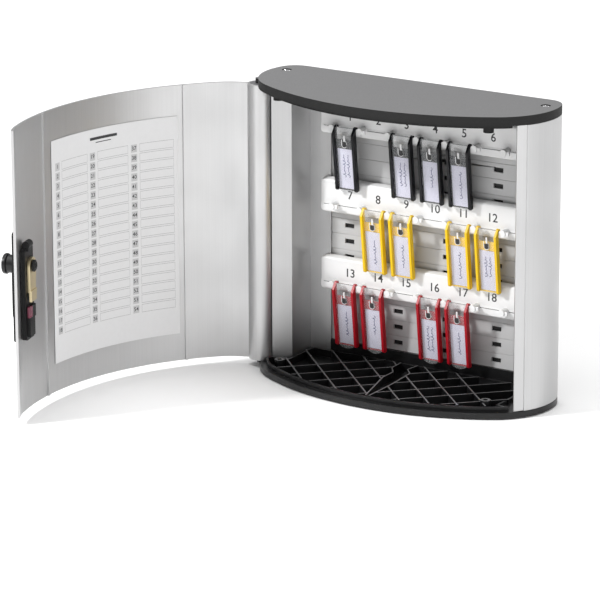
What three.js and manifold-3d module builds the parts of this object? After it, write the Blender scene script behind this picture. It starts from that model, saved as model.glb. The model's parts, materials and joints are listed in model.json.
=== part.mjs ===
// A wall-mounted key cabinet: two moulded end covers joined by two hollow aluminium side profiles
// and a slotted back panel, a curved aluminium door on a corner column, three moulded hook strips,
// and twelve hanging key tags. Millimetres, +Z up, +Y towards the wall, +X to the viewer's right.
// The origin is the middle of the rear face, half way up.
import * as THREE from 'three';
import { mergeVertices } from 'three/addons/utils/BufferGeometryUtils.js';
import Module from 'manifold-3d';

const wasm = await Module();
wasm.setup();

// ---- overall size -------------------------------------------------------------------------
const HEIGHT = 280;
const GAP = 0.3;

// ---- plan outline of the covers: a symmetric D made of tangent arcs --------------------------
const BACK_HALF = 129.8;
const CORNER_R = 19.5;
const SIDE_R = 61.5;
const CORNER_ANGLE = 17.2;
const FRONT_ANGLE = -59.36;

// ---- covers ----------------------------------------------------------------------------------
// heights above each cover's outer face: the band, the collar inside the shells, the ribs, the
// bosses, the wall before the panel's end, and the floor of the hinge pin's hole
const TOP_COVER = { band: 8.3, collar: 12, rib: 11.5, boss: 18.6, wall: 12, seat: 4.6, screws: true };
const BOTTOM_COVER = { band: 5.4, collar: 9.2, rib: 10, boss: 11.8, wall: 20, seat: 2.6, screws: false };
const FLOOR = 2.5;
const COLLAR_OUT = 6.3;
const COLLAR_IN = 8.5;
const WALL_FRONT = -6.4;
const WALL_HALF = 99.3;
const RIB_WIDTH = 1.4;
const RIB_PITCH = 33.8;
const RIB_START = 30.3;
const BOSS_R = 4.8;
const BOSS_HOLE_R = 2.4;
const LEFT_BOSS = [-120.2, -63.5];
const RIGHT_BOSS = [105.3, -70.1];
const SCREW_X = 136.9;
const SCREW_Y = -22.9;

// ---- side profiles ----------------------------------------------------------------------------
const PROFILE_BOTTOM = BOTTOM_COVER.band + GAP;
const PROFILE_TOP = HEIGHT - TOP_COVER.band - GAP;
const SKIN = 2.2;
const INNER_X = 122.2;
const LIP_X = 99.7;
const LIP_FRONT = -5.3;
const POCKET_X = 112.6;
const NOSE_ANGLE = -41;
const STEP_ANGLE = -31.7;
const LANDING_INSET = 1.2;
const NOSE_INSET = 3.0;

// ---- back panel and rear sheet -----------------------------------------------------------------
const PANEL_HALF = 112.2;
const PANEL_FRONT = -3;
const PANEL_BACK = -1;
const SLOT_COLUMNS = [-80.5, -27.2, 25.6, 78.3];
const SLOT_FIRST = 27.3;
const SLOT_PITCH = 15.08;
const SLOT_ROWS = 16;
const SLOT_W = 10;
const SLOT_H = 4.4;
const GROOVE_RISE = 6.6;
const GROOVE = 0.6;

// ---- hinge -------------------------------------------------------------------------------------
const HINGE = [-149.0, -50.9];
const COLUMN_R = 11.5;
const COLUMN_BORE = 9;
const SEAT_R = 12.4;
const BUSH_R = 8.7;
const BUSH_BORE = 2.09;
const BUSH_LENGTH = 14;
const PIN_R = 2;
const PIN_LENGTH = 15;
const EAR_R = 3.9;
const OPEN_ANGLE = -102.9;

// ---- door --------------------------------------------------------------------------------------
const DOOR_SKIN = 2.4;
const DOOR_END = -42.6;
const DOOR_RIBS = [-72.5, -113.7];
const DOOR_RIB_HEIGHT = 1.6;
const SHEET_FROM = -75.5;
const SHEET_TO = -112.1;
const SHEET_BOTTOM = 32.5;
const SHEET_TOP = 242.5;

// ---- lock --------------------------------------------------------------------------------------
const LOCK_ANGLE = -61.6;
const LOCK_Z = 141.8;
const SPINDLE_HOLE = 4.3;

// ---- hook strips -------------------------------------------------------------------------------
const STRIP_Z = [241.1, 165.7, 90.3];
const STRIP_LEFT = -105.5;
const STRIP_RIGHT = 109.6;
const STRIP_FRONT = -12.8;
const STRIP_BACK = -5.7;
const STRIP_UP = 13.6;
const STRIP_DOWN = 18.6;
const PLACE_FIRST = -74;
const PLACE_PITCH = 30.42;
const PLACES = 6;
const PEG_R = 3.3;
const ARM_HALF = 5.9;
const ARM_R = 0.8;

// ---- key tags ----------------------------------------------------------------------------------
const TAG_PIVOT_Y = -20.6;
const TAG_DROP = 10.1;
const TAG_REAR = -1.36;
const TAG_TILT = 6.85;
const TAG_HALF = 11.5;
const RAIL = 2.3;
const RAIL_DEPTH = 5.5;
const CURL_OUT = 2.9;
const CURL_IN = 1.25;
const TAG_BOTTOM = -59.6;
const TAG_COLOURS = { black: 0x1b1b1d, yellow: 0xf2c40f, red: 0xb9121f };
const TAGS = {
  black: [1, 3, 4, 5],
  yellow: [8, 9, 11, 12],
  red: [13, 14, 16, 17],
};

// ---- finishes ----------------------------------------------------------------------------------
function finish(color, roughness, metalness) {
  return new THREE.MeshStandardMaterial({ color, roughness, metalness });
}

const anodised = () => finish(0xc9cbcc, 0.42, 0.85);
const blackPlastic = () => finish(0x1d1e20, 0.5, 0);
const greyPlastic = () => finish(0x5f6163, 0.62, 0);
const whitePlastic = () => finish(0xf1f1ef, 0.4, 0);
const steel = () => finish(0xa9abad, 0.3, 1);
const brass = () => finish(0xb99a58, 0.35, 1);

// ---- solids ------------------------------------------------------------------------------------
function bare(geometry) {
  const g = geometry.clone();
  g.deleteAttribute('normal');
  g.deleteAttribute('uv');
  return mergeVertices(g, 1e-4);
}

function solid(geometry) {
  const g = bare(geometry);
  const mesh = new wasm.Mesh({
    numProp: 3,
    vertProperties: new Float32Array(g.attributes.position.array),
    triVerts: new Uint32Array(g.index.array),
  });
  return new wasm.Manifold(mesh);
}

function geometryOf(manifold) {
  const mesh = manifold.getMesh();
  const g = new THREE.BufferGeometry();
  g.setAttribute('position', new THREE.BufferAttribute(new Float32Array(mesh.vertProperties), 3));
  g.setIndex(new THREE.BufferAttribute(new Uint32Array(mesh.triVerts), 1));
  g.computeVertexNormals();
  return g;
}

// the corners of an outline, counterclockwise
function corners(points) {
  const list = points.map(([x, y]) => new THREE.Vector2(x, y));
  return THREE.ShapeUtils.isClockWise(list) ? list.reverse() : list;
}

// an outline in plan raised from z0 to z1
function prism(points, z0, z1, holes = []) {
  const shape = new THREE.Shape(corners(points));
  for (const hole of holes) shape.holes.push(new THREE.Path(corners(hole)));
  const g = new THREE.ExtrudeGeometry(shape, { depth: z1 - z0, bevelEnabled: false });
  g.translate(0, 0, z0);
  return g;
}

function block(x0, x1, y0, y1, z0, z1) {
  const g = new THREE.BoxGeometry(x1 - x0, y1 - y0, z1 - z0);
  g.translate((x0 + x1) / 2, (y0 + y1) / 2, (z0 + z1) / 2);
  return g;
}

function post(x, y, r, z0, z1, sides = 24) {
  const g = new THREE.CylinderGeometry(r, r, z1 - z0, sides);
  g.rotateX(Math.PI / 2);
  g.translate(x, y, (z0 + z1) / 2);
  return g;
}

// a round bar along Y, between depths y0 and y1
function spindle(r, y0, y1, x = 0, z = 0, sides = 24) {
  const g = new THREE.CylinderGeometry(r, r, y1 - y0, sides);
  g.translate(x, (y0 + y1) / 2, z);
  return g;
}

const join = (first, ...rest) => rest.reduce((sum, g) => sum.add(solid(g)), solid(first));
const cut = (body, ...tools) => tools.reduce((left, g) => left.subtract(solid(g)), body);

function part(name, shape, material) {
  const geometry = shape.isBufferGeometry ? shape : geometryOf(shape);
  const mesh = new THREE.Mesh(geometry, material);
  mesh.name = name;
  return mesh;
}

// ---- the outline -------------------------------------------------------------------------------
const rad = THREE.MathUtils.degToRad;
const along = ([x, y], r, a) => [x + r * Math.cos(rad(a)), y + r * Math.sin(rad(a))];
const CORNER_C = [BACK_HALF, -CORNER_R];
const SIDE_C = along(CORNER_C, CORNER_R - SIDE_R, CORNER_ANGLE);
const FRONT_R = SIDE_R + SIDE_C[0] / Math.cos(rad(FRONT_ANGLE));
const FRONT_C = along(SIDE_C, SIDE_R - FRONT_R, FRONT_ANGLE);

// the point whose outward normal has the given angle, moved inwards by inset;
// -90 is the middle of the front, 90 the right rear corner and -270 the left rear corner
function edge(angle, inset = 0) {
  if (angle < -90) {
    const [x, y] = edge(-180 - angle, inset);
    return [-x, y];
  }
  if (angle >= CORNER_ANGLE) return along(CORNER_C, CORNER_R - inset, angle);
  if (angle >= FRONT_ANGLE) return along(SIDE_C, SIDE_R - inset, angle);
  return along(FRONT_C, FRONT_R - inset, angle);
}

function stepAt(angle) {
  const a = angle < -90 ? -180 - angle : angle;
  if (a > CORNER_ANGLE) return 12;
  return a > FRONT_ANGLE ? 6.4 : 3;
}

// points along the outline between two normal angles, always through the joints of the arcs
function run(from, to, inset = 0) {
  const sign = Math.sign(to - from);
  const joints = [CORNER_ANGLE, FRONT_ANGLE, -180 - FRONT_ANGLE, -180 - CORNER_ANGLE];
  const inside = joints.filter((a) => (a - from) * sign > 0.01 && (to - a) * sign > 0.01);
  inside.sort((a, b) => (a - b) * sign);
  const stops = [from, ...inside, to];
  const points = [];
  for (let i = 0; i + 1 < stops.length; i += 1) {
    const span = stops[i + 1] - stops[i];
    const n = Math.max(1, Math.round(Math.abs(span) / stepAt((stops[i] + stops[i + 1]) / 2)));
    for (let k = 0; k < n; k += 1) points.push(edge(stops[i] + (span * k) / n, inset));
  }
  points.push(edge(to, inset));
  return points;
}

const outline = (inset) => run(90, -270, inset);

function arc(centre, r, a0, a1, step = 8) {
  const n = Math.max(2, Math.round(Math.abs(a1 - a0) / step));
  return Array.from({ length: n + 1 }, (_, i) => along(centre, r, a0 + ((a1 - a0) * i) / n));
}

const flipX = (points) => points.map(([x, y]) => [-x, y]);

// turns the faces of a mirrored mesh outwards again
function flipWinding(g) {
  const merged = bare(g);
  const idx = merged.index;
  for (let i = 0; i < idx.count; i += 3) {
    const a = idx.getX(i);
    idx.setX(i, idx.getX(i + 1));
    idx.setX(i + 1, a);
  }
  merged.computeVertexNormals();
  return merged;
}

// mirrors a part made at the foot of the cabinet to its top
function flipZ(geometry) {
  const g = geometry.clone();
  const p = g.attributes.position;
  for (let i = 0; i < p.count; i += 1) p.setZ(i, HEIGHT - p.getZ(i));
  return flipWinding(g);
}

// an outline in depth and height extruded along X and raised by z
function bar(section, x0, x1, z = 0) {
  const g = prism(section, x0, x1);
  g.applyMatrix4(new THREE.Matrix4().set(0, 0, 1, 0, 1, 0, 0, 0, 0, 1, 0, z, 0, 0, 0, 1));
  return g;
}

// an (x, z) outline extruded between depths y0 and y1 and raised by z
function slab(points, y0, y1, holes = [], z = 0) {
  const g = prism(points, y0, y1, holes);
  g.applyMatrix4(new THREE.Matrix4().set(1, 0, 0, 0, 0, 0, 1, 0, 0, 1, 0, z, 0, 0, 0, 1));
  return flipWinding(g);
}

// ---- covers ------------------------------------------------------------------------------------
// the inside of the cabinet, without the corners that the side profiles stand on
function interior(inset, z0, z1, spare) {
  const right = block(119 - spare, 170, -70 - spare, 10, z0 - 1, z1 + 1);
  const left = block(-170, -119 + spare, -52 - spare, 10, z0 - 1, z1 + 1);
  const column = post(HINGE[0], HINGE[1], SEAT_R + 0.4 + spare, z0 - 1, z1 + 1, 36);
  return cut(solid(prism(outline(inset), z0, z1)), right, left, column);
}

function ribLine(offset, slope, top) {
  const reach = 170;
  const half = (RIB_WIDTH / 2) * Math.SQRT2;
  const points = [
    [-reach, offset - reach * slope - half],
    [reach, offset + reach * slope - half],
    [reach, offset + reach * slope + half],
    [-reach, offset - reach * slope + half],
  ];
  return prism(points, FLOOR - 0.4, top);
}

// a rib following a list of corners
function ribPath(route, top) {
  const w = RIB_WIDTH / 2;
  const there = route.map(([x, y]) => [x - w, y]);
  const back = route.map(([x, y]) => [x + w, y]).reverse();
  return prism([...there, ...back], FLOOR - 0.4, top);
}

const CHANNEL_LEFT = [[-21, -7.5], [-20, -26], [-12.2, -37], [-12.2, -55], [2.4, -110]];
const CHANNEL_RIGHT = [[-2.8, -7.5], [-4.6, -23], [3.4, -33], [6, -70], [6, -110]];

function lattice(top) {
  let grid = null;
  for (let k = 0; k < 7; k += 1) {
    const offset = RIB_START - RIB_PITCH * k;
    for (const slope of [1, -1]) {
      const rib = solid(ribLine(offset, slope, top));
      grid = grid ? grid.add(rib) : rib;
    }
  }
  const channel = prism([...CHANNEL_LEFT, ...[...CHANNEL_RIGHT].reverse()], 0, top + 2);
  grid = cut(grid, channel);
  for (const route of [CHANNEL_LEFT, CHANNEL_RIGHT]) grid = grid.add(solid(ribPath(route, top)));
  return grid.intersect(interior(COLLAR_IN - 0.8, FLOOR - 0.4, top, -0.8));
}

function cover({ band, collar, rib, boss, wall, seat, screws }) {
  const pocket = interior(COLLAR_IN, FLOOR, band + 1, 2.2);
  const ring = interior(COLLAR_OUT, band - 1, collar, 0).subtract(interior(COLLAR_IN, 0, 20, 2.2));
  let body = solid(prism(outline(0), 0, band));
  body = body.subtract(pocket).add(ring).add(lattice(rib));
  body = body.add(solid(block(-WALL_HALF, WALL_HALF, WALL_FRONT, PANEL_FRONT - GAP, band - 1, wall)));
  for (const [x, y] of [LEFT_BOSS, RIGHT_BOSS]) {
    body = body.add(solid(post(x, y, BOSS_R, FLOOR - 0.4, boss)));
    body = cut(body, post(x, y, BOSS_HOLE_R, FLOOR + 1, boss + 1, 16));
  }
  body = body.add(solid(post(...HINGE, EAR_R, seat - 1, band)));
  body = cut(body, post(...HINGE, PIN_R + GAP, seat, band + 1, 20));
  for (const side of screws ? [-1, 1] : []) {
    const x = side * SCREW_X;
    body = cut(body, post(x, SCREW_Y, 4.6, -1, 3), post(x, SCREW_Y, 2.5, -1, 20, 16));
  }
  return geometryOf(body);
}

function coverScrew(side) {
  const x = side * SCREW_X;
  const head = post(x, SCREW_Y, 4.1, 0.6, 2.7);
  const shank = post(x, SCREW_Y, 2.1, 2.5, 22, 16);
  const slot = block(x - 3, x + 3, SCREW_Y - 0.5, SCREW_Y + 0.5, 0, 1.6);
  return flipZ(geometryOf(cut(join(head, shank), slot)));
}

// ---- side profiles -----------------------------------------------------------------------------
const REAR = [
  [POCKET_X, 0],
  [POCKET_X, PANEL_FRONT - GAP],
  [LIP_X, PANEL_FRONT - GAP],
  [LIP_X, LIP_FRONT],
  [INNER_X, LIP_FRONT],
];

function screwPort(x) {
  const tube = post(x, SCREW_Y, 4.2, PROFILE_BOTTOM, PROFILE_TOP, 20);
  const out = x > 0 ? [x, x + 12.6] : [x - 12.6, x];
  const web = block(...out, SCREW_Y - 1, SCREW_Y + 1, PROFILE_BOTTOM, PROFILE_TOP);
  const bore = post(x, SCREW_Y, 2.5, PROFILE_BOTTOM - 1, PROFILE_TOP + 1, 16);
  return { tube, web, bore };
}

function hollow(outer, chamber, x) {
  const shell = prism(outer, PROFILE_BOTTOM, PROFILE_TOP, [chamber]);
  const port = screwPort(x);
  return cut(join(shell, port.tube, port.web), port.bore);
}

function rightProfile() {
  const wall = INNER_X + SKIN;
  const outer = [
    ...run(90, STEP_ANGLE, 0),
    ...run(STEP_ANGLE - 0.4, NOSE_ANGLE, LANDING_INSET),
    ...run(NOSE_ANGLE, -30, NOSE_INSET),
    edge(-30, 6),
    [INNER_X, -38.3],
    ...REAR.slice().reverse(),
  ];
  const chamber = [...run(84, -27, SKIN), [138.2, -56.6], [wall, -37.4], [wall, -SKIN]];
  return hollow(outer, chamber, SCREW_X);
}

function leftProfile() {
  const wall = -INNER_X - SKIN;
  const outer = [
    ...run(-270, -173.7, 0).slice(0, -1),
    ...arc(HINGE, SEAT_R, 98.2, 2.3),
    [-INNER_X, -38.3],
    ...flipX(REAR).reverse(),
  ];
  const chamber = [...run(-264, -176.2, SKIN), ...arc(HINGE, 14.6, 86, 19), [wall, -37.4], [wall, -SKIN]];
  return hollow(outer, chamber, -SCREW_X);
}

// ---- back panel --------------------------------------------------------------------------------
function slotted() {
  const back = PANEL_BACK;
  const front = PANEL_FRONT;
  let panel = solid(block(-PANEL_HALF, PANEL_HALF, front, back, PROFILE_BOTTOM, PROFILE_TOP));
  for (let row = 0; row < SLOT_ROWS; row += 1) {
    const z = SLOT_FIRST + SLOT_PITCH * row;
    for (const x of SLOT_COLUMNS) {
      const [w, h] = [SLOT_W / 2, SLOT_H / 2];
      panel = cut(panel, block(x - w, x + w, front - 1, back + 1, z - h, z + h));
    }
    const g = z + GROOVE_RISE;
    panel = cut(panel, block(-PANEL_HALF - 1, PANEL_HALF + 1, front - 1, front + GROOVE, g - 0.4, g + 0.4));
  }
  return panel;
}

const rearSheet = () => block(-PANEL_HALF, PANEL_HALF, PANEL_BACK + GAP, 0, PROFILE_BOTTOM, PROFILE_TOP);

// ---- hook strips -------------------------------------------------------------------------------
// cross-section in depth and height about the number's centre
function stripSection() {
  return [
    [STRIP_BACK, -STRIP_DOWN + 4],
    [STRIP_BACK, STRIP_UP],
    [-8.6, STRIP_UP],
    [-11.4, STRIP_UP - 1.2],
    [STRIP_FRONT, STRIP_UP - 3.2],
    [STRIP_FRONT, -9],
    [-13.6, -12],
    [-13.6, -STRIP_DOWN + 1],
    [-12.8, -STRIP_DOWN],
    [-11, -STRIP_DOWN],
    [-10.2, -STRIP_DOWN + 1.2],
    [-10.2, -STRIP_DOWN + 4],
  ];
}

// a round peg with a cross bar that the curled rails of its two neighbouring tags hang on
function peg(x, z) {
  const round = arc([TAG_PIVOT_Y, 0], ARM_R, 0, 180, 60);
  const section = [...round, [TAG_PIVOT_Y - ARM_R, -3], [TAG_PIVOT_Y + ARM_R, -3]];
  const stem = spindle(PEG_R, TAG_PIVOT_Y - 1.7, -12.4, x, z - 0.9, 12);
  return join(stem, bar(section, x - ARM_HALF, x + ARM_HALF, z));
}

// rounds one end corner of a strip, seen from the front
function endRound(x, up, z) {
  const r = 3.5;
  const inX = Math.sign(x) * r;
  const inZ = Math.sign(up) * r;
  const curve = [];
  for (let i = 0; i <= 4; i += 1) {
    const a = rad(22.5 * i);
    curve.push([x - inX + inX * Math.cos(a), up - inZ + inZ * Math.sin(a)]);
  }
  const outside = [[x + inX, up - inZ], ...curve, [x - inX, up + inZ], [x + inX, up + inZ]];
  return slab(outside, -60, 0, [], z);
}

function hookStrip(index) {
  const z = STRIP_Z[index];
  let strip = solid(bar(stripSection(), STRIP_LEFT, STRIP_RIGHT, z));
  for (let k = 0; k <= PLACES; k += 1) {
    strip = strip.add(peg(PLACE_FIRST + PLACE_PITCH * (k - 0.5), z - TAG_DROP));
  }
  const clip = SLOT_FIRST + SLOT_PITCH * Math.round((z - SLOT_FIRST) / SLOT_PITCH);
  for (const x of SLOT_COLUMNS) {
    strip = strip.add(solid(block(x - 4, x + 4, STRIP_BACK - 1, PANEL_BACK - 0.3, clip - 1.6, clip + 1.6)));
  }
  for (const end of [STRIP_LEFT, STRIP_RIGHT]) {
    for (const up of [STRIP_UP, -STRIP_DOWN]) strip = cut(strip, endRound(end, up, z));
  }
  return strip;
}

// ---- door --------------------------------------------------------------------------------------
// normal angle at which a line of the door skin, inset by t, meets the column
function columnAngle(t) {
  let a = -140;
  for (let i = 0; i < 4000; i += 1) {
    const [x, y] = edge(a, t);
    if (Math.hypot(x - HINGE[0], y - HINGE[1]) < COLUMN_R - 0.15) break;
    a -= 0.01;
  }
  return a;
}

const RIB_HALF_ANGLE = 0.3;

function doorRib(angle) {
  const top = DOOR_SKIN + DOOR_RIB_HEIGHT;
  return [
    edge(angle + RIB_HALF_ANGLE, DOOR_SKIN),
    edge(angle + RIB_HALF_ANGLE, top),
    edge(angle - RIB_HALF_ANGLE, top),
    edge(angle - RIB_HALF_ANGLE, DOOR_SKIN),
  ];
}

function doorProfile() {
  const outerEnd = columnAngle(0);
  const innerEnd = columnAngle(DOOR_SKIN);
  const inner = [];
  let from = DOOR_END;
  for (const angle of DOOR_RIBS) {
    inner.push(...run(from, angle + RIB_HALF_ANGLE, DOOR_SKIN).slice(0, -1), ...doorRib(angle).slice(0, -1));
    from = angle - RIB_HALF_ANGLE;
  }
  inner.push(...run(from, innerEnd, DOOR_SKIN));
  const skin = prism([...run(DOOR_END, outerEnd, 0), ...inner.reverse()], PROFILE_BOTTOM, PROFILE_TOP);
  const column = post(...HINGE, COLUMN_R, PROFILE_BOTTOM, PROFILE_TOP, 48);
  const bore = post(...HINGE, COLUMN_BORE, PROFILE_BOTTOM - 1, PROFILE_TOP + 1, 40);
  const hole = spindle(SPINDLE_HOLE, -4, 6);
  hole.rotateZ(rad(LOCK_ANGLE + 90));
  hole.translate(...edge(LOCK_ANGLE), LOCK_Z);
  return cut(join(skin, column), bore, hole);
}

function bush(z0) {
  const body = solid(post(...HINGE, BUSH_R, z0, z0 + BUSH_LENGTH, 36));
  return cut(body, post(...HINGE, BUSH_BORE, z0 - 1, z0 + 20, 24));
}

const pin = (z0) => post(...HINGE, PIN_R, z0, z0 + PIN_LENGTH, 24);

function indexSheet() {
  const front = run(SHEET_FROM, SHEET_TO, DOOR_SKIN + 0.75);
  const back = run(SHEET_FROM, SHEET_TO, DOOR_SKIN + GAP);
  return prism([...front, ...back.reverse()], SHEET_BOTTOM, SHEET_TOP);
}

// ---- lock, in its own frame: x towards the door's free edge, y inwards, z up from the knob ---------
function plateOutline(half, low, high, r) {
  const centres = [[half - r, high - r], [-half + r, high - r], [-half + r, low + r], [half - r, low + r]];
  return centres.flatMap((centre, i) => arc(centre, r, 90 * i, 90 * i + 90, 30));
}

function lockPlate() {
  const base = slab(plateOutline(16, -69, 33.4, 3), -2.5, -0.3);
  const raised = slab(plateOutline(13.8, -48.6, 8, 6), -4, -2.4);
  return cut(join(base, raised), spindle(SPINDLE_HOLE, -6, 2));
}

function knob() {
  const grip = [[0, -16.2], [7.8, -16.2], [9, -15.7], [9.5, -14.6], [9.5, -12.6], [9, -11.9], [8.3, -11.6]];
  const neck = [[8.1, -4.3], [3.6, -4.3], [3.6, 8.1]];
  const socket = [[2.4, 8.1], [2.4, 11.4], [1.7, 11.4], [1.7, 5.8], [0, 5.8]];
  const profile = [...grip, ...neck, ...socket].map(([r, y]) => new THREE.Vector2(r, y));
  return new THREE.LatheGeometry(profile, 32);
}

function lockBody() {
  const base = slab(plateOutline(10.2, -67.8, 17.7, 2.5), 3.7, 8.3);
  base.translate(1.6, 0, 0);
  const knuckle = new THREE.CylinderGeometry(3.6, 3.6, 10, 20);
  knuckle.rotateZ(Math.PI / 2);
  knuckle.translate(4, 8, 20.6);
  const neck = block(-1, 9, 4.3, 10.6, 15.2, 21);
  const housing = block(-2.6, 9.5, 8, 11.4, -64.4, -47);
  const tower = block(-6, 2.6, 8, 11, -48, -36.6);
  return cut(join(base, knuckle, neck, housing, tower), spindle(SPINDLE_HOLE, 2, 9));
}

// a tapering lever, its end set a little inwards to pass behind the right profile's lip
function latchLever() {
  const flat = slab([...arc([0, 0], 8, 0, 180, 15), [-6.2, -24], [7.3, -24]], 8.6, 11.3);
  const tip = slab([[7.4, -22], [-6.4, -22], [-5.6, -32.4], [7, -32.4]], 9.8, 12.2);
  return cut(join(flat, tip), spindle(2.7, 8, 14, 0, 0, 20));
}

function leverScrew() {
  const head = spindle(5.5, 11.7, 13.2);
  const crown = new THREE.CylinderGeometry(4.2, 5.5, 0.9, 24);
  crown.translate(0, 13.55, 0);
  const shank = spindle(1.4, 6.4, 12, 0, 0, 16);
  const slots = [block(-2.6, 2.6, 13, 15, -0.5, 0.5), block(-0.5, 0.5, 13, 15, -2.6, 2.6)];
  return cut(join(head, crown, shank), ...slots);
}

const lockInsert = () => block(2.9, 10.4, 8.7, 11.6, -46.7, -36.4);

// ---- key tag, in its own frame: origin on the swing axis, y towards the wall --------------------------
const rearY = (d) => TAG_REAR - d;

function teardrop() {
  const round = arc([0, -15], 2.3, 200, 340, 20);
  return [...round, [0.9, -11], [-0.9, -11]];
}

// a side rail's outline in depth and height, its top curled back over the peg's cross bar
function railOutline() {
  const over = arc([0, 0], CURL_OUT, 0, 160, 40);
  const under = arc([0, 0], CURL_IN, 180, 0, 45);
  const front = rearY(RAIL_DEPTH);
  const foot = [[front, -3.6], [front, TAG_BOTTOM + 1.5], [front + 1.2, TAG_BOTTOM], [rearY(0), TAG_BOTTOM]];
  return [...over, ...foot, ...under];
}

function tagFrame() {
  const half = TAG_HALF - RAIL;
  const field = [[-half, TAG_BOTTOM], [half, TAG_BOTTOM], [half, -10.2], [-half, -10.2]];
  const plate = slab(field, rearY(1.3), rearY(0.3), [teardrop()]);
  const left = bar(railOutline(), -TAG_HALF, -half + 0.05);
  const right = bar(railOutline(), half - 0.05, TAG_HALF);
  const foot = block(-half, half, rearY(1.9), rearY(1.2), TAG_BOTTOM, TAG_BOTTOM + 1.4);
  return join(plate, left, right, foot);
}

function tagWindow() {
  const half = TAG_HALF - RAIL - 0.35;
  const top = CURL_OUT - 0.6;
  const bow = arc([0, TAG_BOTTOM + 9], half + 3, 222, 318, 12);
  const round = bow.map(([x, z]) => [Math.max(-half, Math.min(half, x)), z]);
  const pane = slab([...round, [half, top], [-half, top]], rearY(3.3), rearY(2.3));
  const head = block(-half, half, rearY(3.2), rearY(0.3), -9.8, top);
  const hole = block(-4.2, 4.2, rearY(4), rearY(-1), -8.8, -1.7);
  const drop = slab(teardrop(), rearY(4), rearY(2));
  return cut(join(pane, head), hole, drop);
}

const tagLabel = () => block(-8.3, 8.3, rearY(2.0), rearY(1.6), TAG_BOTTOM + 1.7, -19);

// ---- assembly ----------------------------------------------------------------------------------
const cabinet = new THREE.Group();
cabinet.position.z = -HEIGHT / 2;

cabinet.add(part('bottom_cover', cover(BOTTOM_COVER), blackPlastic()));
cabinet.add(part('top_cover', flipZ(cover(TOP_COVER)), greyPlastic()));
cabinet.add(part('cover_screw_left', coverScrew(-1), steel()));
cabinet.add(part('cover_screw_right', coverScrew(1), steel()));
cabinet.add(part('left_profile', leftProfile(), anodised()));
cabinet.add(part('right_profile', rightProfile(), anodised()));
cabinet.add(part('back_panel', slotted(), finish(0xd6d7d6, 0.45, 0.2)));
cabinet.add(part('rear_sheet', rearSheet(), blackPlastic()));
cabinet.add(part('hinge_pin_bottom', pin(BOTTOM_COVER.seat + GAP), steel()));
cabinet.add(part('hinge_pin_top', pin(HEIGHT - TOP_COVER.seat - GAP - PIN_LENGTH), steel()));
for (let i = 0; i < 3; i += 1) cabinet.add(part(`hook_strip_${i + 1}`, hookStrip(i), whitePlastic()));

const door = new THREE.Group();
door.position.set(HINGE[0], HINGE[1], 0);
door.rotation.z = rad(OPEN_ANGLE);
const leaf = new THREE.Group();
leaf.position.set(-HINGE[0], -HINGE[1], 0);
leaf.add(part('door_profile', doorProfile(), anodised()));
leaf.add(part('hinge_bush_bottom', bush(PROFILE_BOTTOM), greyPlastic()));
leaf.add(part('hinge_bush_top', bush(PROFILE_TOP - BUSH_LENGTH), greyPlastic()));
leaf.add(part('index_sheet', indexSheet(), finish(0xe9eaf0, 0.7, 0)));

const lock = new THREE.Group();
lock.position.set(...edge(LOCK_ANGLE), LOCK_Z);
lock.rotation.z = rad(LOCK_ANGLE + 90);
lock.add(part('lock_plate', lockPlate(), blackPlastic()));
lock.add(part('lock_knob', knob(), finish(0x2a2b2d, 0.35, 0)));
lock.add(part('lock_body', lockBody(), blackPlastic()));
lock.add(part('latch_lever', latchLever(), brass()));
lock.add(part('lever_screw', leverScrew(), finish(0x1f2022, 0.4, 0.3)));
lock.add(part('lock_insert', lockInsert(), finish(0x8c2733, 0.3, 0)));
leaf.add(lock);
door.add(leaf);
cabinet.add(door);

const frameShape = geometryOf(tagFrame());
const windowShape = geometryOf(tagWindow());
const labelShape = tagLabel();

function keyTag(place, colour) {
  const column = (place - 1) % PLACES;
  const row = Math.floor((place - 1) / PLACES);
  const tag = new THREE.Group();
  tag.position.set(PLACE_FIRST + PLACE_PITCH * column, TAG_PIVOT_Y, STRIP_Z[row] - TAG_DROP);
  tag.rotation.x = rad(TAG_TILT);
  const id = String(place).padStart(2, '0');
  const clear = finish(0xe6ecf0, 0.1, 0);
  clear.transparent = true;
  clear.opacity = 0.35;
  tag.add(part(`tag_${id}_frame`, frameShape, finish(colour, 0.4, 0)));
  tag.add(part(`tag_${id}_window`, windowShape, clear));
  tag.add(part(`tag_${id}_label`, labelShape, finish(0xe8e6f4, 0.75, 0)));
  return tag;
}

for (const [colour, places] of Object.entries(TAGS)) {
  for (const place of places) cabinet.add(keyTag(place, TAG_COLOURS[colour]));
}

const object = new THREE.Group();
object.add(cabinet);

export default object;
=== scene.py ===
# Looks of the key cabinet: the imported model's pieces with rounded edges, printed numbers, an index
# list, detailed key tags and procedural finishes, seen from the front right and a little above, with
# the door open. Metres in the scene; the places of small details are given in millimetres.
import json
import math
import random

import bmesh
import bpy
from mathutils import Matrix, Vector


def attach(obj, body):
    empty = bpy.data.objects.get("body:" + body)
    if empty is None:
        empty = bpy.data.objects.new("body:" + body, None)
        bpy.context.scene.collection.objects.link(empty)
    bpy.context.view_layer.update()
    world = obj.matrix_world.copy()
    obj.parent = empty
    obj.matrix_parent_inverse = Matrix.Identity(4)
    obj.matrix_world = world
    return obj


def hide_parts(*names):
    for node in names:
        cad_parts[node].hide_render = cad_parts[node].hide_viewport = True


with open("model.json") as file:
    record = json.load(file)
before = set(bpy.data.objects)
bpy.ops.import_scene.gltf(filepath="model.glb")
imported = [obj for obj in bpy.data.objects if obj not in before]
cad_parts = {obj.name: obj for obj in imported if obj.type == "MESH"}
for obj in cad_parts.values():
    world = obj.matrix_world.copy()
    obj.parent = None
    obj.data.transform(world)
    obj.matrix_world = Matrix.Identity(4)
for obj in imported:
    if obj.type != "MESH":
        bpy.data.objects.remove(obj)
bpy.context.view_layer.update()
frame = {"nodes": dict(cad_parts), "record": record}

MM = 0.001
HALF_HEIGHT = 140
rng = random.Random(7)
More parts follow.
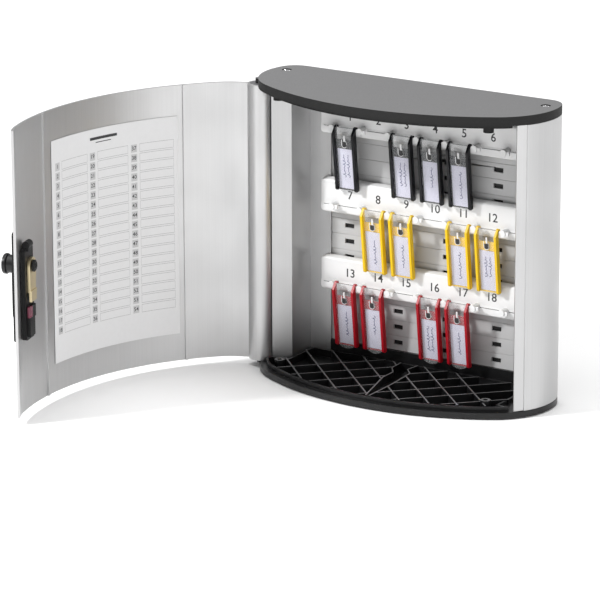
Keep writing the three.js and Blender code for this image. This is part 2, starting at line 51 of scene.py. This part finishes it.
BODIES = frame["record"]["behaviour"]["bodies"]
BODY_OF = {node: body for body, nodes in BODIES.items() for node in nodes}
SLOT_OF = {s["node"]: s["material_slot"] for s in frame["record"]["subparts"]}


# ---- finishes ------------------------------------------------------------------------------------
class Finish:
    """A material with a Principled shader and helpers for its textures and for painted light and shade."""

    def __init__(self, name, colour, roughness, metallic=0.0, **sockets):
        self.mat = bpy.data.materials.new(name)
        self.mat.use_nodes = True
        self.tree = self.mat.node_tree
        self.shader = self.tree.nodes["Principled BSDF"]
        self.colour = (*colour, 1.0)
        self.shader.inputs["Base Color"].default_value = self.colour
        self.shader.inputs["Roughness"].default_value = roughness
        self.shader.inputs["Metallic"].default_value = metallic
        for key, value in sockets.items():
            self.shader.inputs[key.replace("_", " ")].default_value = value
        self.coords = self.node("ShaderNodeTexCoord").outputs["Object"]

    def node(self, kind, **values):
        made = self.tree.nodes.new(kind)
        for key, value in values.items():
            made.inputs[key].default_value = value
        return made

    def link(self, a, b):
        self.tree.links.new(a, b)

    def noise(self, scale, detail=3.0, stretch=(1, 1, 1)):
        place = self.node("ShaderNodeMapping", Scale=stretch)
        self.link(self.coords, place.inputs["Vector"])
        made = self.node("ShaderNodeTexNoise", Scale=scale, Detail=detail)
        self.link(place.outputs["Vector"], made.inputs["Vector"])
        return made.outputs["Fac"]

    def ramp(self, value, low, high, start=0.3, end=0.7):
        made = self.node("ShaderNodeMapRange")
        made.inputs["From Min"].default_value = start
        made.inputs["From Max"].default_value = end
        made.inputs["To Min"].default_value = low
        made.inputs["To Max"].default_value = high
        self.link(value, made.inputs["Value"])
        return made.outputs["Result"]

    def tint(self, value, dark, light):
        """Colour between two multiples of the base colour."""
        made = self.node("ShaderNodeMix")
        made.data_type = "RGBA"
        made.inputs[6].default_value = tuple(c * dark for c in self.colour[:3]) + (1,)
        made.inputs[7].default_value = tuple(min(1, c * light) for c in self.colour[:3]) + (1,)
        self.link(value, made.inputs["Factor"])
        self.link(made.outputs[2], self.shader.inputs["Base Color"])
        return self

    def painted_shade_below(self, share):
        """Multiplies the colour by share where the surface doesn't face upwards: a painted shade on sides
        and undersides, in part their own darker, smoother surface.
        """
        normal = self.node("ShaderNodeNewGeometry").outputs["Normal"]
        split = self.node("ShaderNodeSeparateXYZ")
        self.link(normal, split.inputs[0])
        made = self.node("ShaderNodeMix")
        made.data_type = "RGBA"
        made.blend_type = "MULTIPLY"
        made.inputs["Factor"].default_value = 1
        base = self.shader.inputs["Base Color"]
        self.link(base.links[0].from_socket, made.inputs[6])
        self.link(self.ramp(split.outputs["Z"], share, 1, 0.3, 0.8), made.inputs[7])
        self.link(made.outputs[2], base)
        return self

    def painted_light_between(self, low, high, colour):
        """Another colour, a painted light, on surfaces that face upwards between two heights."""
        normal = self.node("ShaderNodeNewGeometry").outputs["Normal"]
        facing = self.node("ShaderNodeSeparateXYZ")
        self.link(normal, facing.inputs[0])
        height = self.node("ShaderNodeSeparateXYZ")
        self.link(self.coords, height.inputs[0])
        share = self.ramp(facing.outputs["Z"], 0, 1, 0.55, 0.8)
        for limit, kind in ((low, "GREATER_THAN"), (high, "LESS_THAN")):
            test = self.node("ShaderNodeMath")
            test.operation = kind
            test.inputs[1].default_value = limit
            self.link(height.outputs["Z"], test.inputs[0])
            both = self.node("ShaderNodeMath")
            both.operation = "MULTIPLY"
            self.link(share, both.inputs[0])
            self.link(test.outputs[0], both.inputs[1])
            share = both.outputs[0]
        made = self.node("ShaderNodeMix")
        made.data_type = "RGBA"
        made.inputs[7].default_value = (*colour, 1)
        base = self.shader.inputs["Base Color"]
        self.link(share, made.inputs["Factor"])
        self.link(base.links[0].from_socket, made.inputs[6])
        self.link(made.outputs[2], base)
        return self

    def gloss(self, value, low, high):
        self.link(self.ramp(value, low, high), self.shader.inputs["Roughness"])
        return self

    def bump(self, value, strength, distance):
        made = self.node("ShaderNodeBump", Strength=strength, Distance=distance)
        self.link(value, made.inputs["Height"])
        last = self.shader.inputs["Normal"]
        if last.is_linked:
            self.link(last.links[0].from_socket, made.inputs["Normal"])
        self.link(made.outputs["Normal"], last)
        return self


def plastic(name, colour, roughness, strength=0.12, spread=0.06, **sockets):
    """Smooth moulded plastic, a little cloudy, with a fine bump."""
    f = Finish(name, colour, roughness, **sockets)
    cloud = f.noise(38, 4)
    fine = f.noise(2200, 2)
    f.tint(cloud, 1 - spread, 1 + spread)
    f.gloss(cloud, roughness - 0.06, roughness + 0.06)
    return f.bump(fine, strength, 0.0001)


def drawn_metal(name, colour, roughness, metallic=1.0, lines=900, strength=0.08):
    """Metal with fine lines along Z, as an extrusion has."""
    f = Finish(name, colour, roughness, metallic)
    streak = f.noise(lines, 3, (1, 1, 0.004))
    cloud = f.noise(22, 3)
    f.tint(streak, 0.94, 1.05)
    f.gloss(cloud, roughness - 0.05, roughness + 0.05)
    return f.bump(streak, strength, 0.00005).bump(f.noise(4200, 2), 0.05, 0.00003)


def grained(name, colour, roughness, **sockets):
    """Moulded plastic with an eroded surface grain."""
    f = Finish(name, colour, roughness, **sockets)
    grain = f.noise(1500, 4)
    f.tint(f.noise(760, 3), 0.84, 1.16)
    f.gloss(grain, roughness - 0.1, roughness + 0.08)
    return f.bump(grain, 0.45, 0.00018)


def paper(name, colour):
    """Matt paper with fine fibres and a slight waviness."""
    f = Finish(name, colour, 0.75)
    f.tint(f.noise(260, 5), 0.97, 1.02)
    f.gloss(f.noise(90), 0.7, 0.82)
    return f.bump(f.noise(1800, 3), 0.15, 0.00005).bump(f.noise(14, 2), 0.25, 0.0012)


def ink(name, colour):
    """Flat print or pen, slightly uneven."""
    f = Finish(name, colour, 0.6)
    f.tint(f.noise(1400, 2), 0.8, 1.25)
    return f.bump(f.noise(2600, 2), 0.05, 0.00002)


# heights of the bottom cover's rib and boss tops, in metres; their upward faces between these heights get a
# painted light
RIB_TOPS = (9.5 - HALF_HEIGHT) * MM, (12.5 - HALF_HEIGHT) * MM

FINISHES = {
    # the black plastic's rib and boss tops are lightened: a painted light on the faces that face upwards
    "black_plastic": plastic(
        "black_plastic", (0.006, 0.006, 0.0065), 0.34, strength=0.12, Specular_IOR_Level=0.4
    ).painted_light_between(*RIB_TOPS, (0.12, 0.12, 0.122)),
    # the grey plastic's sides and underside are darkened: a painted shade, in part their own darker,
    # smoother surface
    "grey_plastic": grained(
        "grey_plastic", (0.155, 0.155, 0.157), 0.62, Specular_IOR_Level=0.32
    ).painted_shade_below(0.05),
    "screw_steel": drawn_metal("screw_steel", (0.72, 0.72, 0.73), 0.25, lines=300),
    "anodised": drawn_metal("anodised", (0.53, 0.53, 0.532), 0.40),
    "door_anodised": drawn_metal("door_anodised", (0.595, 0.595, 0.597), 0.42),
    "panel": plastic("panel", (0.54, 0.54, 0.542), 0.42, spread=0.02, strength=0.08),
    "rear": plastic("rear", (0.008, 0.008, 0.008), 0.6),
    "pin_steel": drawn_metal("pin_steel", (0.55, 0.55, 0.56), 0.3, lines=300),
    "white_plastic": plastic("white_plastic", (0.84, 0.84, 0.84), 0.33, spread=0.015, strength=0.05),
    "bush_plastic": grained("bush_plastic", (0.12, 0.12, 0.125), 0.6),
    "paper": paper("paper", (0.77, 0.77, 0.775)),
    "lock_black": plastic(
        "lock_black", (0.006, 0.006, 0.0065), 0.42, strength=0.2, Specular_IOR_Level=0.22
    ),
    "knob_black": plastic(
        "knob_black", (0.010, 0.010, 0.011), 0.34, strength=0.1, Specular_IOR_Level=0.35
    ),
    "brass": drawn_metal("brass", (0.76, 0.64, 0.40), 0.3, lines=500),
    "screw_black": plastic(
        "screw_black", (0.008, 0.008, 0.0085), 0.4, strength=0.2, Specular_IOR_Level=0.25
    ),
    "red_clear": plastic("red_clear", (0.15, 0.025, 0.05), 0.2, strength=0.05),
    "tag_black": plastic(
        "tag_black", (0.008, 0.008, 0.010), 0.34, strength=0.05, Specular_IOR_Level=0.25
    ),
    "tag_yellow": plastic(
        "tag_yellow", (0.88, 0.57, 0.006), 0.36, strength=0.04, spread=0.04, Specular_IOR_Level=0.3
    ),
    "tag_red": plastic(
        "tag_red", (0.40, 0.005, 0.014), 0.34, strength=0.04, spread=0.05, Specular_IOR_Level=0.25
    ),
    "tag_clear": plastic(
        "tag_clear", (0.93, 0.95, 0.97), 0.08, strength=0.03, spread=0.01, Alpha=0.09
    ),
    "label_paper": paper("label_paper", (0.64, 0.63, 0.745)),
}
PRINT = ink("print_grey", (0.035, 0.035, 0.037))
SHADOW = ink("gap_shadow", (0.03, 0.03, 0.031))
RULES = ink("print_rules", (0.36, 0.36, 0.365))
SHADE = ink("print_shade", (0.54, 0.54, 0.545))
PEN = ink("pen_blue", (0.10, 0.10, 0.22))


# ---- mesh helpers --------------------------------------------------------------------------------
def link(name, mesh):
    o = bpy.data.objects.new(name, mesh)
    bpy.context.scene.collection.objects.link(o)
    return o


def settle(o, body, slot, finish=None):
    """Gives a piece its finish, the one of its slot unless another is given, and the body it rides on."""
    o.data.materials.clear()
    o.data.materials.append((finish or FINISHES[slot]).mat)
    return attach(o, body)


def bake(o):
    """Applies the modifiers of an object to its mesh."""
    dg = bpy.context.evaluated_depsgraph_get()
    mesh = bpy.data.meshes.new_from_object(o.evaluated_get(dg))
    o.modifiers.clear()
    o.data = mesh
    return o


def soften(o, width, segments=2, angle=35):
    """Rounds the sharp edges of a mesh and shades the rest smooth."""
    if width:
        m = o.modifiers.new("round", "BEVEL")
        m.width = width * MM
        m.segments = segments
        m.limit_method = "ANGLE"
        m.angle_limit = math.radians(angle)
        m.use_clamp_overlap = True
        m.miter_outer = "MITER_ARC"
    for p in o.data.polygons:
        p.use_smooth = True
    w = o.modifiers.new("normals", "WEIGHTED_NORMAL")
    w.keep_sharp = True
    bpy.context.view_layer.update()
    return bake(o)


LATTICED = {"bottom_cover", "top_cover"}


def copy_of(node):
    """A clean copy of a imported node: shared corners merged and flat faces made whole."""
    source = frame["nodes"][node].data
    bm = bmesh.new()
    bm.from_mesh(source)
    bmesh.ops.remove_doubles(bm, verts=bm.verts, dist=2e-6)
    flat = math.radians(0.6)
    if node in LATTICED:
        bmesh.ops.join_triangles(
            bm, faces=bm.faces, angle_face_threshold=flat, angle_shape_threshold=math.pi
        )
    else:
        bmesh.ops.dissolve_limit(bm, angle_limit=flat, verts=bm.verts, edges=bm.edges)
    mesh = bpy.data.meshes.new(node + "_fine")
    bm.to_mesh(mesh)
    bm.free()
    return link(node + "_fine", mesh)


def refine(node, width, segments=2):
    """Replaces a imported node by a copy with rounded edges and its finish."""
    o = soften(copy_of(node), width, segments)
    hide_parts(node)
    return settle(o, BODY_OF[node], SLOT_OF[node])


def from_parts(name, parts):
    """One mesh from a list of (vertices, faces)."""
    verts, faces = [], []
    for v, f in parts:
        base = len(verts)
        verts += [tuple(p) for p in v]
        faces += [tuple(i + base for i in face) for face in f]
    mesh = bpy.data.meshes.new(name)
    mesh.from_pydata(verts, [], faces)
    mesh.update()
    bm = bmesh.new()
    bm.from_mesh(mesh)
    bmesh.ops.recalc_face_normals(bm, faces=bm.faces)
    bm.to_mesh(mesh)
    bm.free()
    return link(name, mesh)


BOX_FACES = [(0, 1, 3, 2), (4, 6, 7, 5), (0, 4, 5, 1), (2, 3, 7, 6), (0, 2, 6, 4), (1, 5, 7, 3)]


def box_part(place, a0, a1, b0, b1, c0, c1, cuts=1):
    """A thin bar in the coordinates of place, cut along its first direction to follow a curve."""
    parts = []
    for k in range(cuts):
        x0 = a0 + (a1 - a0) * k / cuts
        x1 = a0 + (a1 - a0) * (k + 1) / cuts
        parts.append(([place(x, b, c) for x in (x0, x1) for b in (b0, b1) for c in (c0, c1)], BOX_FACES))
    return parts


def ribbon(place, points, width, low, high):
    """A closed flat stroke through (x, z) points."""
    left, right = [], []
    for i, (x, z) in enumerate(points):
        x0, z0 = points[max(0, i - 1)]
        x1, z1 = points[min(len(points) - 1, i + 1)]
        d = math.hypot(x1 - x0, z1 - z0) or 1
        nx, nz = -(z1 - z0) / d * width / 2, (x1 - x0) / d * width / 2
        left.append((x + nx, z + nz))
        right.append((x - nx, z - nz))
    verts = [place(x, z, d) for row in (left, right) for (x, z) in row for d in (low, high)]
    n = len(points)
    faces = []
    for i in range(n - 1):
        a, b, c, d = 2 * i, 2 * i + 2, 2 * n + 2 * i, 2 * n + 2 * i + 2
        faces += [(a, b, d, c), (a + 1, c + 1, d + 1, b + 1), (a, a + 1, b + 1, b), (c, d, d + 1, c + 1)]
    e, f = 2 * n - 2, 4 * n - 2
    faces += [(0, 2 * n, 2 * n + 1, 1), (e, e + 1, f + 1, f)]
    return verts, faces


def text_part(place, number, size, x, z, low, high):
    """Raised digits: their middle at (x, z), between heights low and high."""
    curve = bpy.data.curves.new("digits", "FONT")
    curve.body = number
    curve.size = size
    curve.offset = size * 0.011
    curve.align_x = "CENTER"
    curve.align_y = "CENTER"
    curve.extrude = 0.5
    curve.resolution_u = 3
    o = bpy.data.objects.new("digits", curve)
    bpy.context.scene.collection.objects.link(o)
    dg = bpy.context.evaluated_depsgraph_get()
    mesh = bpy.data.meshes.new_from_object(o.evaluated_get(dg))
    bpy.data.objects.remove(o)
    verts = [place(x + v.co.x, z + v.co.y, low if v.co.z < 0 else high) for v in mesh.vertices]
    faces = [tuple(p.vertices) for p in mesh.polygons]
    bpy.data.meshes.remove(mesh)
    return verts, faces


# ---- places, in millimetres and degrees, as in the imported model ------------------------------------
CORNER_R, SIDE_R, BACK_HALF = 19.5, 61.5, 129.8
CORNER_ANGLE, FRONT_ANGLE = 17.2, -59.36
HINGE = Vector((-149.0, -50.9))
OPEN = math.radians(-102.9)


def polar(c, r, a):
    """The point at distance r from c in the direction a."""
    return Vector((c[0] + r * math.cos(math.radians(a)), c[1] + r * math.sin(math.radians(a))))


CORNER_C = (BACK_HALF, -CORNER_R)
SIDE_C = polar(CORNER_C, CORNER_R - SIDE_R, CORNER_ANGLE)
FRONT_R = SIDE_R + SIDE_C[0] / math.cos(math.radians(FRONT_ANGLE))
FRONT_C = polar(SIDE_C, SIDE_R - FRONT_R, FRONT_ANGLE)


def edge(angle, inset=0.0):
    """The plan outline's point with that outward normal angle."""
    if angle < -90:
        p = edge(-180 - angle, inset)
        return Vector((-p.x, p.y))
    if angle >= CORNER_ANGLE:
        return polar(CORNER_C, CORNER_R - inset, angle)
    if angle >= FRONT_ANGLE:
        return polar(SIDE_C, SIDE_R - inset, angle)
    return polar(FRONT_C, FRONT_R - inset, angle)


def on_open_door(p, z):
    """Turns a point of the closed door's plan, at height z, with the door as it stands open."""
    d = p - HINGE
    c, s = math.cos(OPEN), math.sin(OPEN)
    q = HINGE + Vector((d.x * c - d.y * s, d.x * s + d.y * c))
    return Vector((q.x * MM, q.y * MM, (z - HALF_HEIGHT) * MM))


# the index sheet: where it starts, the angle it spans, its place behind the door's outline and its height
SHEET_LEFT, SHEET_SPAN = -75.5, 36.6
SHEET_INSET = 3.15
SHEET_Z0, SHEET_HEIGHT = 32.5, 210


def on_sheet(u, v, lift):
    """A point on the index sheet: u across from its left edge, v up from its lower edge."""
    angle = SHEET_LEFT - math.degrees(u / (FRONT_R - SHEET_INSET))
    return on_open_door(edge(angle, SHEET_INSET + lift), SHEET_Z0 + v)


# the hook strips: heights of their numbers, their front face, and the places for keys along them
STRIP_Z = [241.1, 165.7, 90.3]
STRIP_FRONT = -12.8
PLACES = 6
PLACE_FIRST, PLACE_PITCH = -74.0, 30.42


def on_strip(x, z, lift):
    """A point in front of the hook strips' face."""
    return Vector((x * MM, (STRIP_FRONT - lift) * MM, (z - HALF_HEIGHT) * MM))


# the key tags: the line they swing about, below the numbers, and how far they lean
TAG_AXIS_Y, TAG_DROP = -20.6, 10.1
TAG_TILT = math.radians(6.85)


def on_tag(place):
    """Maps (x, z, y) in a tag's own frame, y towards the wall, to the cabinet's."""
    row, column = divmod(place - 1, PLACES)
    origin = Vector((PLACE_FIRST + PLACE_PITCH * column, TAG_AXIS_Y, STRIP_Z[row] - TAG_DROP - HALF_HEIGHT))
    turn = Matrix.Rotation(TAG_TILT, 3, "X")
    return lambda x, z, y: (origin + turn @ Vector((x, y, z))) * MM


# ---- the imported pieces, refined --------------------------------------------------------------------
# widths in millimetres of the rounding on each piece's edges; a tag's pieces also have their segments
ROUNDING = {
    "bottom_cover": 0.35, "top_cover": 0.35, "left_profile": 0.3, "right_profile": 0.3, "back_panel": 0.12,
    "door_profile": 0.25, "hook_strip_1": 0.5, "hook_strip_2": 0.5, "hook_strip_3": 0.5,
    "lock_plate": 0.5, "lock_knob": 0.35, "lock_body": 0.5, "latch_lever": 0.3, "lever_screw": 0.2,
    "lock_insert": 0.6, "cover_screw_left": 0.2, "cover_screw_right": 0.2,
}
TAG_ROUNDING = {"frame": (0.45, 2), "window": (0.2, 1), "label": (0.08, 1)}
for node in sorted(frame["nodes"]):
    width, segments = TAG_ROUNDING.get(node.split("_")[-1], (ROUNDING.get(node, 0.2), 2))
    if node != "index_sheet":
        refine(node, width, segments)


# ---- printed numbers on the hook strips, and a dark line above their lower lips, a painted shadow -----
NUMBER_SIZE, NUMBER_DROP = 11.4, 0.6
NUMBER_DEPTH = -0.02, 0.03
LINE_ENDS = -102.5, 109
LINE_BELOW = 11.65, 11.2
LINE_DEPTH = 0.5, 0.78

for row, z in enumerate(STRIP_Z):
    digits = []
    for k in range(PLACES):
        number = str(row * PLACES + k + 1)
        x = PLACE_FIRST + PLACE_PITCH * k
        digits.append(text_part(on_strip, number, NUMBER_SIZE, x, z - NUMBER_DROP, *NUMBER_DEPTH))
    settle(from_parts(f"strip_numbers_{row + 1}", digits), "cabinet", "white_plastic", PRINT)
    # a dark bar below each row of numbers: a painted shadow line
    line = box_part(on_strip, *LINE_ENDS, z - LINE_BELOW[0], z - LINE_BELOW[1], *LINE_DEPTH)
    settle(from_parts(f"strip_shadow_line_{row + 1}", line), "cabinet", "white_plastic", SHADOW)


# ---- index sheet ---------------------------------------------------------------------------------
# the table: three columns of eighteen rows, each a shaded number and a ruled box beside it
TABLE_COLUMNS, TABLE_ROWS = 3, 18
NUMBER_U, NUMBER_PITCH = 9.0, 47.7
BOX_LEFT, BOX_RIGHT, BOX_PITCH = 15.4, 50.2, 47.6
ROW_TOP, ROW_PITCH, ROW_HALF = 184.4, 9.09, 3.7
CELL_HALF = 3.2
RULE_HALF, UPRIGHT_HALF = 0.16, 0.1
INDEX_DIGITS = 5.2
RULE_LIFT, CELL_LIFT, DIGIT_LIFTS = 0.03, 0.015, (0.012, 0.04)


def index_table():
    rules, cells, digits = [], [], []
    for column in range(TABLE_COLUMNS):
        middle = NUMBER_U + NUMBER_PITCH * column
        left, right = BOX_LEFT + BOX_PITCH * column, BOX_RIGHT + BOX_PITCH * column
        for row in range(TABLE_ROWS):
            v = ROW_TOP - ROW_PITCH * row
            low, high = v - ROW_HALF, v + ROW_HALF
            for level in (low, high):
                thickness = level - RULE_HALF, level + RULE_HALF
                rules += box_part(on_sheet_bar, left, right, *thickness, 0, RULE_LIFT, 6)
            for u in (left, right):
                rules += box_part(on_sheet_bar, u - UPRIGHT_HALF, u + UPRIGHT_HALF, low, high, 0, RULE_LIFT)
            cell_ends = middle - CELL_HALF, middle + CELL_HALF
            cells += box_part(on_sheet_bar, *cell_ends, low, high, 0, CELL_LIFT, 2)
            number = str(column * TABLE_ROWS + row + 1)
            digits.append(text_part(on_sheet, number, INDEX_DIGITS, middle, v, *DIGIT_LIFTS))
    return rules, cells, digits


def on_sheet_bar(u, v, lift):
    """As on_sheet, for printed bars, which are sunk a hair into the paper."""
    return on_sheet(u, v, lift - 0.005)


def curved_sheet():
    """The paper itself, bent to the door in small steps."""
    width = math.radians(SHEET_SPAN) * (FRONT_R - SHEET_INSET)
    middle = SHEET_HEIGHT / 2
    steps = 72
    thickness = 0.42
    points = [(width * k / steps, middle) for k in range(steps + 1)]
    o = soften(from_parts("index_sheet_fine", [ribbon(on_sheet, points, SHEET_HEIGHT, -thickness, 0)]), 0)
    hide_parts("index_sheet")
    return settle(o, "door", "paper")


def header():
    """A plain two-bar heading in place of a printed name."""
    wide = box_part(on_sheet_bar, 54, 86, 199.6, 202.2, 0, RULE_LIFT, 6)
    narrow = box_part(on_sheet_bar, 61, 79, 196.6, 197.4, 0, RULE_LIFT, 4)
    return wide + narrow


curved_sheet()
rules, cells, digits = index_table()
settle(from_parts("index_header", header()), "door", "paper", PRINT)
settle(from_parts("index_rules", rules), "door", "paper", RULES)
settle(from_parts("index_cells", cells), "door", "paper", SHADE)
settle(from_parts("index_numbers", digits), "door", "paper", PRINT)


# ---- key tags ------------------------------------------------------------------------------------
# a tag's rear face, and how far in front of it the pen lines lie
TAG_REAR = -1.36
PEN_WIDTH, PEN_FRONT, PEN_BACK = 0.7, 2.1, 1.98
WRITING_TOP = -24.6


def scribble(length, lines):
    """Loops of a pen line running down a label, in (x, z)."""
    strokes = []
    for line in range(lines):
        x0 = -2.2 + 4.4 * line if lines > 1 else 0.6
        top = WRITING_TOP - rng.uniform(0, 3)
        phase = rng.uniform(0, 6)
        points = []
        n = int(length * 4)
        for i in range(n):
            t = i / n
            swing = 0.9 + 0.7 * math.sin(3.1 * t * length / 6 + phase)
            turn = t * length * 1.9
            points.append((x0 + swing * math.sin(turn), top - t * length + 0.5 * math.cos(turn)))
        strokes.append(points)
    return strokes


def wire_arc(place, x, z, r, thick, y, start, end, steps):
    """A round wire bent to an arc in the plane of the tag, with closed ends."""
    sides = 6
    verts, faces = [], []
    for i in range(steps + 1):
        a = math.radians(start + (end - start) * i / steps)
        for k in range(sides):
            b = math.tau * k / sides
            rr = r + thick * math.cos(b)
            verts.append(place(x + rr * math.cos(a), z + rr * math.sin(a), y + thick * math.sin(b)))
    for i in range(steps):
        for k in range(sides):
            near, far, turned = i * sides, (i + 1) * sides, (k + 1) % sides
            faces.append((near + k, near + turned, far + turned, far + k))
    faces += [tuple(range(sides - 1, -1, -1)), tuple(range(steps * sides, steps * sides + sides))]
    return verts, faces


# the drop-shaped hole in a tag's head
DROP_Z, DROP_R = -14.6, 2.6
RIM_THICK = 0.34


def drop_rim_highlight(place):
    """The moulded rim of the hole, coloured white as a painted highlight on the clear plastic's edges: an
    arc below, an edge on its left and a tongue above.
    """
    rim_highlight = [wire_arc(place, 0, DROP_Z, DROP_R, RIM_THICK, TAG_REAR - 3.3, 150, 330, 16)]
    rim_highlight += box_part(place, -2.9, -2.3, DROP_Z, -9.6, TAG_REAR - 3.6, TAG_REAR - 2.9)
    rim_highlight += box_part(place, -0.4, 1.2, -11.2, -5.4, TAG_REAR - 3.6, TAG_REAR - 2.6)
    return rim_highlight


def drop_hole_shade(place):
    """A dark plate in the hole: a painted shade for its inside."""
    return box_part(place, -2.1, 2.1, -16.8, -11.6, TAG_REAR - 3.45, TAG_REAR - 3.1)


# how many lines of writing the label on each key place has
TAG_LINES = {1: 2, 3: 2, 4: 1, 5: 1, 8: 1, 9: 1, 11: 1, 12: 2, 13: 1, 14: 1, 16: 2, 17: 1}
for place_no, lines in TAG_LINES.items():
    tag = f"tag_{place_no:02d}"
    place = on_tag(place_no)
    rim_highlight, hole_shade = drop_rim_highlight(place), drop_hole_shade(place)
    # the dark plate inside each hole is a painted shade
    settle(soften(from_parts(f"{tag}_hollow", hole_shade), 1.5, 4, 50), tag, "tag_clear", SHADOW)
    # the white rim on the clear plastic is a painted highlight
    settle(soften(from_parts(f"{tag}_rim", rim_highlight), 0.25, 2, 50), tag, "tag_clear", FINISHES["white_plastic"])
    depths = TAG_REAR - PEN_FRONT, TAG_REAR - PEN_BACK
    strokes = [ribbon(place, s, PEN_WIDTH, *depths) for s in scribble(rng.uniform(19, 27), lines)]
    settle(from_parts(f"{tag}_writing", strokes), tag, "label_paper", PEN)


# ---- stage, light and camera -------------------------------------------------------------------------
FLOOR_HALF, FLOOR_Z = 40, -0.1412
SOFT_SKY = 0.43
SUN_STRENGTH, SUN_SPREAD = 2.1, math.radians(55)
LIT_POINT = (-0.03, -0.1, 0)

# the camera: the directions it looks along, its slight roll, the point it looks at and its distance
VIEW_AZIMUTH, VIEW_ELEVATION, VIEW_ROLL = (math.radians(a) for a in (32.285, 16.356, -0.152))
VIEW_TARGET = Vector((-0.09972, -0.060, -0.06818))
VIEW_DISTANCE = 3.5989
SENSOR, LENS = 36, 231.8


def area_light(name, place, size, power):
    """A rectangular light aimed at the middle of the cabinet."""
    data = bpy.data.lights.new(name, "AREA")
    data.shape = "RECTANGLE"
    data.size, data.size_y = size
    data.energy = power
    o = bpy.data.objects.new(name, data)
    bpy.context.scene.collection.objects.link(o)
    o.location = place
    o.rotation_mode = "QUATERNION"
    o.rotation_quaternion = (Vector(LIT_POINT) - Vector(place)).to_track_quat("-Z", "Y")


def overhead():
    """An even light from straight above, so that the floor is equally white far away."""
    data = bpy.data.lights.new("overhead", "SUN")
    data.energy = SUN_STRENGTH
    data.angle = SUN_SPREAD
    bpy.context.scene.collection.objects.link(bpy.data.objects.new("overhead", data))


def floor():
    mesh = bpy.data.meshes.new("floor")
    r, z = FLOOR_HALF, FLOOR_Z
    mesh.from_pydata([(-r, -r, z), (r, -r, z), (r, r, z), (-r, r, z)], [], [(0, 1, 2, 3)])
    o = link("floor", mesh)
    f = Finish("floor", (0.93, 0.93, 0.93), 0.8)
    f.tint(f.noise(2, 2), 0.995, 1.005)
    mesh.materials.append(f.mat)


def studio():
    """White surroundings, a small key light from the front left, the overhead and a soft side light."""
    world = bpy.data.worlds.new("studio")
    bpy.context.scene.world = world
    world.use_nodes = True
    back = world.node_tree.nodes["Background"]
    back.inputs["Color"].default_value = (1, 1, 1, 1)
    back.inputs["Strength"].default_value = SOFT_SKY
    area_light("key", (-1.55, -1.85, 1.75), (0.3, 0.3), 68)
    overhead()
    area_light("side", (2.6, -0.9, 0.7), (1.2, 1.8), 13)


def camera():
    data = bpy.data.cameras.new("camera")
    o = bpy.data.objects.new("camera", data)
    bpy.context.scene.collection.objects.link(o)
    data.sensor_width = SENSOR
    data.lens = LENS
    data.clip_start, data.clip_end = 0.1, 100
    level = math.cos(VIEW_ELEVATION)
    back = Vector((
        math.sin(VIEW_AZIMUTH) * level, -math.cos(VIEW_AZIMUTH) * level, math.sin(VIEW_ELEVATION)
    ))
    o.location = VIEW_TARGET + back * VIEW_DISTANCE
    turn = (-back).to_track_quat("-Z", "Y").to_matrix() @ Matrix.Rotation(VIEW_ROLL, 3, "Z")
    o.rotation_mode = "QUATERNION"
    o.rotation_quaternion = turn.to_quaternion()
    bpy.context.scene.camera = o


floor()
studio()
camera()
bpy.context.scene.view_settings.view_transform = "Standard"
